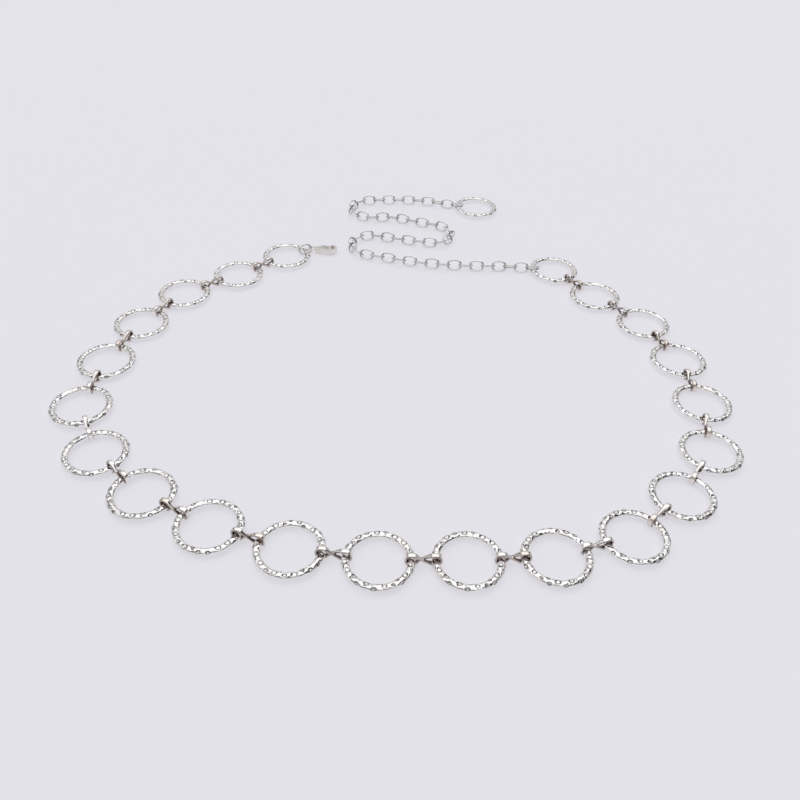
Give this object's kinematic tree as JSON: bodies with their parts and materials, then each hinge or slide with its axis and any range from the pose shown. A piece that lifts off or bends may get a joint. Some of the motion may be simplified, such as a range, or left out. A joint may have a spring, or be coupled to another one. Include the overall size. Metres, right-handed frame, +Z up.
{
  "type": "waist chain",
  "caption": "Waist chain of hammered cast rings joined by figure-eight connectors, with a lobster clasp and a long cable extension chain, laid out flat.",
  "frame": {"origin": "under the middle of the part's bounding box, on the surface it lies on", "axes": "+Z up from that surface; +Y from the front of the loop to its back, where the clasp and the extension chain are; +X to the right seen from the front"},
  "size_m": [0.3374, 0.3496, 0.0064],
  "materials": {
    "cast_silver": "polished hammered silver-coloured plating",
    "connector_silver": "polished silver-coloured strip",
    "chain_silver": "polished silver-coloured wire",
    "clasp_silver": "polished silver-coloured casting"
  },
  "bodies": {
    "chain": {"ring_01": "cast_silver", "ring_02": "cast_silver", "ring_03": "cast_silver", "ring_04": "cast_silver", "ring_05": "cast_silver", "ring_06": "cast_silver", "ring_07": "cast_silver", "ring_08": "cast_silver", "ring_09": "cast_silver", "ring_10": "cast_silver", "ring_11": "cast_silver", "ring_12": "cast_silver", "ring_13": "cast_silver", "ring_14": "cast_silver", "ring_15": "cast_silver", "ring_16": "cast_silver", "ring_17": "cast_silver", "ring_18": "cast_silver", "ring_19": "cast_silver", "ring_20": "cast_silver", "ring_21": "cast_silver", "connector_01": "connector_silver", "connector_02": "connector_silver", "connector_03": "connector_silver", "connector_04": "connector_silver", "connector_05": "connector_silver", "connector_06": "connector_silver", "connector_07": "connector_silver", "connector_08": "connector_silver", "connector_09": "connector_silver", "connector_10": "connector_silver", "connector_11": "connector_silver", "connector_12": "connector_silver", "connector_13": "connector_silver", "connector_14": "connector_silver", "connector_15": "connector_silver", "connector_16": "connector_silver", "connector_17": "connector_silver", "connector_18": "connector_silver", "connector_19": "connector_silver", "connector_20": "connector_silver", "extension_chain": "chain_silver", "end_ring": "cast_silver", "clasp_link": "chain_silver", "clasp_body": "clasp_silver", "clasp_pin": "clasp_silver"},
    "lever": {"clasp_lever": "clasp_silver"}
  },
  "joints": [
    {"name": "lever_hinge", "type": "hinge", "parent": "chain", "child": "lever", "pos_m": [-0.05289, 0.09041, 0.0017], "axis": [0, 0, -1], "range_deg": [0, 22], "stiffness_Nm_per_rad": 0.005}
  ]
}
